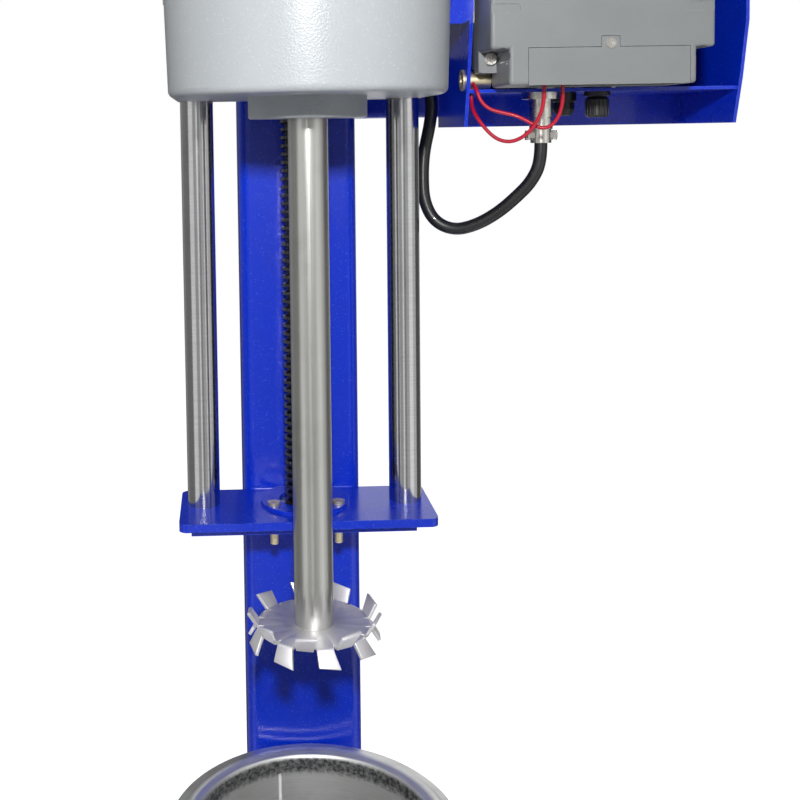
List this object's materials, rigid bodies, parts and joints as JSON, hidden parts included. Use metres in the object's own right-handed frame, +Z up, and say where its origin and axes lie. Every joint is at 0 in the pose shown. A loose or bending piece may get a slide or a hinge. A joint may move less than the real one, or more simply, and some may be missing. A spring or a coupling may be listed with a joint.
{
  "type": "fiber disperser",
  "caption": "Bench disperser: motor head on two guide rods, raised by a screw and handwheel, turns a toothed disc on a long spindle over a steel vessel, with a speed controller beside it.",
  "frame": {"origin": "underside of the base plate, below the middle of the two guide rods", "axes": "+X to the operator's right, +Y away from the operator, +Z up"},
  "size_m": [0.431, 0.34, 0.9621],
  "materials": {
    "blue_paint": "gloss paint",
    "grey_paint": "fine hammer-textured grey paint",
    "stainless": "turned and brushed",
    "ground_steel": "ground and hard chromed",
    "black_steel": "oiled black",
    "bearing_steel": "ground",
    "zinc": "zinc plated",
    "bronze": "turned",
    "nickel": "nickel plated",
    "aluminium": "as cast and machined",
    "rotor_steel": "laminated and ground",
    "black_rubber": "moulded",
    "black_plastic": "moulded",
    "grey_plastic": "fine-grained moulded",
    "dark_panel": "moulded",
    "window": "clear red over a display",
    "green_key": "moulded",
    "red_key": "moulded",
    "grey_key": "moulded",
    "black_cable": "extruded sheath",
    "red_wire": "extruded insulation",
    "cast_black": "black enamel"
  },
  "bodies": {
    "stand": {"base_plate": "blue_paint", "column": "blue_paint", "column_bolts": "zinc", "column_cap": "black_plastic", "lower_bracket": "blue_paint", "lower_doubler": "blue_paint", "upper_bracket": "blue_paint", "guide_rods": "ground_steel", "guide_rod_bolts": "zinc", "bearing_flanges": "blue_paint", "screw_bearings": "bearing_steel", "flange_screws": "zinc", "support_bar": "blue_paint", "control_box": "blue_paint", "box_bolts": "zinc", "wall_bush": "zinc", "drive_heat_sink": "aluminium", "drive_shell": "grey_plastic", "drive_wiring_cover": "grey_plastic", "drive_screws": "zinc", "keypad": "dark_panel", "display_window": "window", "motor_socket": "nickel", "motor_plug": "nickel", "cable_clamp": "nickel", "motor_cable": "black_cable", "red_wire_long": "red_wire", "red_wire_short": "red_wire", "fuse_holder": "black_plastic", "supply_lead_gland": "black_plastic", "vessel": "stainless"},
    "screw": {"lead_screw": "black_steel", "handwheel": "cast_black", "handwheel_nut": "zinc"},
    "grip": {"handwheel_grip": "black_plastic"},
    "head": {"head_casting": "grey_paint", "guide_bushes": "bronze", "lead_nut": "bronze", "head_bearings": "bearing_steel", "bearing_sleeve": "bearing_steel", "shaft_seal": "black_rubber", "bearing_cap": "aluminium", "motor_plate": "grey_paint", "motor_housing": "aluminium", "motor_fan_cowl": "black_plastic", "motor_cover": "grey_paint", "head_screws": "zinc", "cable_bracket": "blue_paint", "motor_cable_gland": "black_plastic"},
    "spindle": {"spindle": "stainless", "disperser_disc": "stainless", "disc_bolt": "stainless", "motor_rotor": "rotor_steel", "motor_fan": "black_plastic"},
    "run_key": {"run_key": "green_key"},
    "stop_key": {"stop_key": "red_key"},
    "up_key": {"up_key": "grey_key"},
    "down_key": {"down_key": "grey_key"},
    "speed_knob": {"speed_knob": "black_plastic"},
    "fuse_cap": {"fuse_cap": "black_plastic"}
  },
  "joints": [
    {"name": "screw_turn", "type": "hinge", "parent": "stand", "child": "screw", "pos_m": [0, 0, 0.6115], "axis": [0, 0, 1], "range_deg": [-720, 16200]},
    {"name": "grip_spin", "type": "hinge", "parent": "screw", "child": "grip", "pos_m": [0, -0.06, 0.9275], "axis": [0, 0, 1], "continuous": true},
    {"name": "head_lift", "type": "slide", "parent": "stand", "child": "head", "axis": [0, 0, 1], "range_m": [-0.225, 0.01], "deforming": ["motor_cable"]},
    {"name": "spindle_spin", "type": "hinge", "parent": "head", "child": "spindle", "pos_m": [0, -0.0605, 0.4475], "axis": [0, 0, 1], "continuous": true},
    {"name": "run_key_press", "type": "slide", "parent": "stand", "child": "run_key", "axis": [0, 1, 0], "range_m": [0, 0.001], "stiffness_N_per_m": 400, "springref_m": -0.0005},
    {"name": "stop_key_press", "type": "slide", "parent": "stand", "child": "stop_key", "axis": [0, 1, 0], "range_m": [0, 0.001], "stiffness_N_per_m": 400, "springref_m": -0.0005},
    {"name": "up_key_press", "type": "slide", "parent": "stand", "child": "up_key", "axis": [0, 1, 0], "range_m": [0, 0.001], "stiffness_N_per_m": 400, "springref_m": -0.0005},
    {"name": "down_key_press", "type": "slide", "parent": "stand", "child": "down_key", "axis": [0, 1, 0], "range_m": [0, 0.001], "stiffness_N_per_m": 400, "springref_m": -0.0005},
    {"name": "speed_knob_turn", "type": "hinge", "parent": "stand", "child": "speed_knob", "pos_m": [0.1811, -0.065, 0.6795], "axis": [0, 1, 0], "range_deg": [0, 300]},
    {"name": "fuse_cap_turn", "type": "hinge", "parent": "stand", "child": "fuse_cap", "pos_m": [0.1795, -0.01, 0.5895], "axis": [0, 0, 1], "range_deg": [0, 90]}
  ],
  "couplings": [
    {"joint": "head_lift", "follows": "screw_turn", "m_per_rad": -0.00079577}
  ]
}
